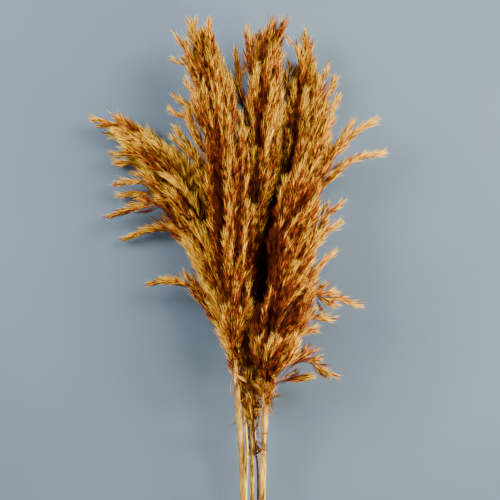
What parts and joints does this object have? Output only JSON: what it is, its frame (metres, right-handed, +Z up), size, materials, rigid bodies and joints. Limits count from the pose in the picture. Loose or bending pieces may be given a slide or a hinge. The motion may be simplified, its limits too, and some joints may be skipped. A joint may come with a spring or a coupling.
{
  "type": "bundle of pampas grass",
  "caption": "Loose bundle of dried, dyed plume grass lying down: slender straw stems in a close sheaf, opening into dense golden brown plumes with free sprays at their sides.",
  "frame": {"origin": "middle of the bundle's footprint, on the surface it lies on", "axes": "+Y from the cut ends towards the plume tips, +Z up off the surface, +X across the bundle"},
  "size_m": [0.299, 0.7024, 0.091],
  "materials": {
    "culm": "satin straw",
    "sheath_leaf": "dry papery leaf",
    "plume": "soft dyed plume"
  },
  "bodies": {
    "root": {"stem_centre": "culm", "stem_left": "culm", "stem_right": "culm", "stem_upper_left": "culm", "stem_upper_right": "culm", "sheath_centre": "sheath_leaf", "sheath_right": "sheath_leaf", "sheath_upper_left": "sheath_leaf", "plume_centre": "plume", "plume_left": "plume", "plume_right": "plume", "plume_upper_left": "plume", "plume_upper_right": "plume", "spray_centre_1": "plume", "spray_centre_2": "plume", "spray_centre_3": "plume", "spray_centre_4": "plume", "spray_centre_5": "plume", "spray_left_1": "plume", "spray_left_2": "plume", "spray_left_3": "plume", "spray_left_4": "plume", "spray_left_5": "plume", "spray_left_6": "plume", "spray_left_7": "plume", "spray_left_8": "plume", "spray_left_9": "plume", "spray_right_1": "plume", "spray_right_10": "plume", "spray_right_11": "plume", "spray_right_12": "plume", "spray_right_13": "plume", "spray_right_14": "plume", "spray_right_15": "plume", "spray_right_16": "plume", "spray_right_17": "plume", "spray_right_2": "plume", "spray_right_3": "plume", "spray_right_4": "plume", "spray_right_5": "plume", "spray_right_6": "plume", "spray_right_7": "plume", "spray_right_8": "plume", "spray_right_9": "plume", "spray_upper_left_1": "plume", "spray_upper_left_2": "plume", "spray_upper_left_3": "plume", "spray_upper_left_4": "plume", "spray_upper_left_5": "plume", "spray_upper_left_6": "plume", "spray_upper_left_7": "plume", "spray_upper_left_8": "plume", "spray_upper_left_9": "plume", "spray_upper_right_1": "plume", "spray_upper_right_2": "plume", "spray_upper_right_3": "plume", "spray_upper_right_4": "plume", "spray_upper_right_5": "plume"}
  },
  "joints": []
}
